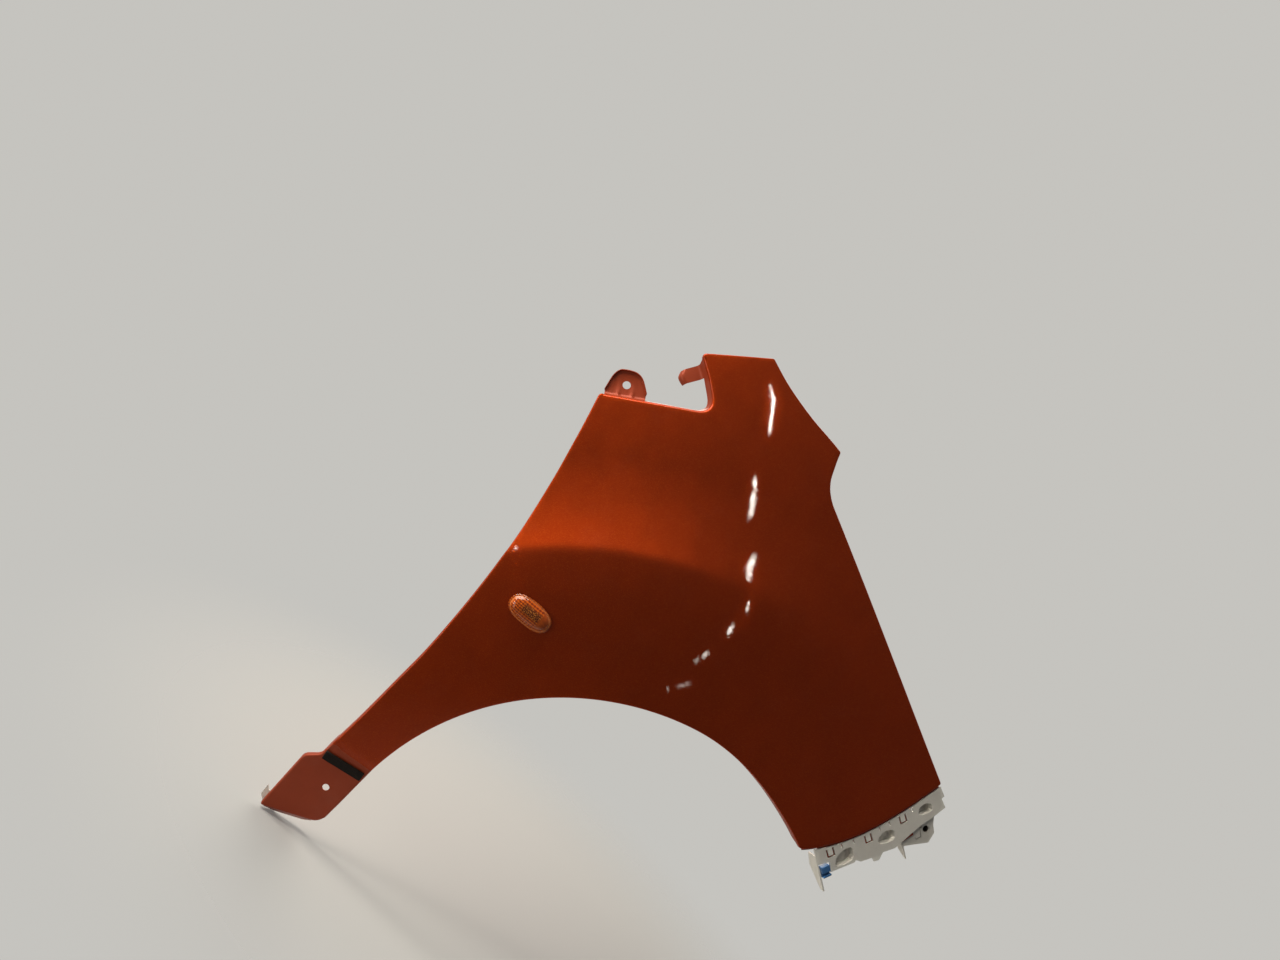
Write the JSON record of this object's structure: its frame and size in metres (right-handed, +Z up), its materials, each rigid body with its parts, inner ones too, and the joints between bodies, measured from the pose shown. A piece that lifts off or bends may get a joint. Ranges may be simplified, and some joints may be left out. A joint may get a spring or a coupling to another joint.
{
  "type": "car fender",
  "caption": "Pressed steel front fender of a small car with folded edges, bolting foot and tabs, amber side repeater with its bulb holder, foam strip and moulded bumper bracket.",
  "frame": {"origin": "seat of the rear foot: the back of its flat face, which lies against the car's sill, below the foot's hole", "axes": "+X towards the front of the car, +Z up, -Y outwards, away from the car"},
  "size_m": [0.7547, 0.1943, 0.8599],
  "materials": {
    "burnt_orange_paint": "glossy burnt orange metallic paint under clear coat, satin on the foot",
    "black_foam": "matte closed-cell foam",
    "amber_lens": "clear amber plastic, ribbed inside",
    "black_rubber": "matte",
    "grey_plastic": "fine-grained moulded light grey plastic",
    "black_plastic": "satin",
    "blue_plastic": "satin",
    "brass": "plain strip",
    "bulb_glass": "clear amber-coated glass",
    "spring_steel": "plain strip"
  },
  "bodies": {
    "root": {"fender_panel": "burnt_orange_paint", "sill_foam_strip": "black_foam", "repeater_lens": "amber_lens", "repeater_gasket": "black_rubber", "repeater_housing": "grey_plastic", "repeater_bulb_holder": "black_plastic", "repeater_contact_lower": "brass", "repeater_contact_upper": "brass", "repeater_bulb": "bulb_glass", "repeater_spring_clip": "spring_steel", "bumper_bracket": "grey_plastic", "bumper_bracket_lower": "grey_plastic", "bracket_clip": "blue_plastic", "sill_clip": "grey_plastic"}
  },
  "joints": []
}
